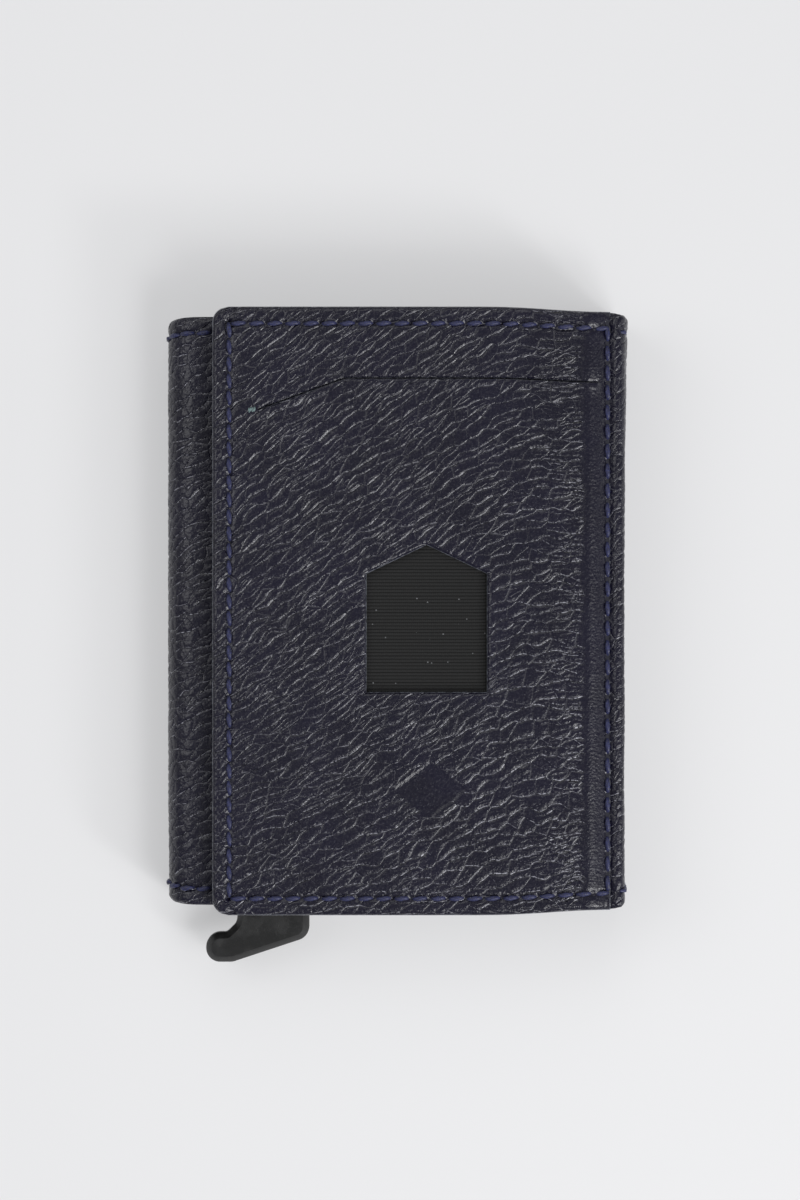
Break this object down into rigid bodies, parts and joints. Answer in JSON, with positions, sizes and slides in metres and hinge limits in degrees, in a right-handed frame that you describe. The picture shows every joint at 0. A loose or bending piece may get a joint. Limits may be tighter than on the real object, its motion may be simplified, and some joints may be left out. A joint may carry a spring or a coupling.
{
  "type": "card holder",
  "caption": "Slim leather card wallet around an aluminium card case, with a stitched flap on a folding spine, a card slit, a thumb window and a plastic ejector lever",
  "frame": {"origin": "on the resting face of the back, below the middle of the closed leather body", "axes": "+X from the left side wrap to the folding spine, +Y from the lever end to the card mouth, +Z from the back through the front flap"},
  "size_m": [0.0764, 0.109, 0.017],
  "materials": {
    "body_leather": "pebble-grained, waxed, dark navy",
    "back_lining": "thin woven lining, black",
    "back_tape": "double-sided adhesive sheet, milky",
    "front_tape": "double-sided adhesive sheet, milky",
    "front_board": "pressed fibre board, dark grey",
    "front_facing": "smooth lining leather, dark navy",
    "front_card_pocket": "smooth lining leather, dark navy",
    "keeper_plates": "nickel-plated steel discs",
    "body_thread": "waxed polyester thread, royal blue",
    "case_sleeve": "brushed and anodised, graphite grey",
    "base_cap": "moulded black plastic, fine texture",
    "felt_front": "pressed felt, black",
    "felt_back": "pressed felt, black",
    "pivot_pin": "ground steel",
    "eject_lever": "moulded black plastic, semi-gloss",
    "spine_leather": "pebble-grained, waxed, dark navy, rubbed at the fold",
    "spine_lining": "thin woven lining, black",
    "spine_thread": "waxed polyester thread, royal blue",
    "flap_leather": "pebble-grained, waxed, dark navy with paler crease edges",
    "flap_pocket_lining": "ribbed textile, charcoal",
    "flap_board": "pressed fibre board, dark grey",
    "flap_inner_leather": "smooth lining leather, dark navy",
    "flap_inner_pockets": "smooth lining leather, dark navy",
    "flap_magnets": "nickel-plated disc magnets",
    "flap_thread": "waxed polyester thread, royal blue",
    "slit_bartack": "thread knot, pale teal"
  },
  "bodies": {
    "body": {"body_leather": "body_leather", "back_lining": "back_lining", "back_tape": "back_tape", "front_tape": "front_tape", "front_board": "front_board", "front_facing": "front_facing", "front_card_pocket": "front_card_pocket", "keeper_plates": "keeper_plates", "body_thread": "body_thread", "case_sleeve": "case_sleeve", "base_cap": "base_cap", "felt_front": "felt_front", "felt_back": "felt_back", "pivot_pin": "pivot_pin"},
    "spine": {"spine_leather": "spine_leather", "spine_lining": "spine_lining", "spine_thread": "spine_thread"},
    "flap": {"flap_leather": "flap_leather", "flap_pocket_lining": "flap_pocket_lining", "flap_board": "flap_board", "flap_inner_leather": "flap_inner_leather", "flap_inner_pockets": "flap_inner_pockets", "flap_magnets": "flap_magnets", "flap_thread": "flap_thread", "slit_bartack": "slit_bartack"},
    "lever": {"eject_lever": "eject_lever"}
  },
  "joints": [
    {"name": "spine_fold", "type": "hinge", "parent": "body", "child": "spine", "pos_m": [0.0366, 0, 0.0017], "axis": [0, 1, 0], "range_deg": [0, 90]},
    {"name": "flap_fold", "type": "hinge", "parent": "spine", "child": "flap", "pos_m": [0.0355, 0, 0.0143], "axis": [0, 1, 0], "range_deg": [0, 90]},
    {"name": "lever_pivot", "type": "hinge", "parent": "body", "child": "lever", "pos_m": [-0.0236, -0.04395, 0.006], "axis": [0, 0, 1], "range_deg": [0, 32]}
  ]
}
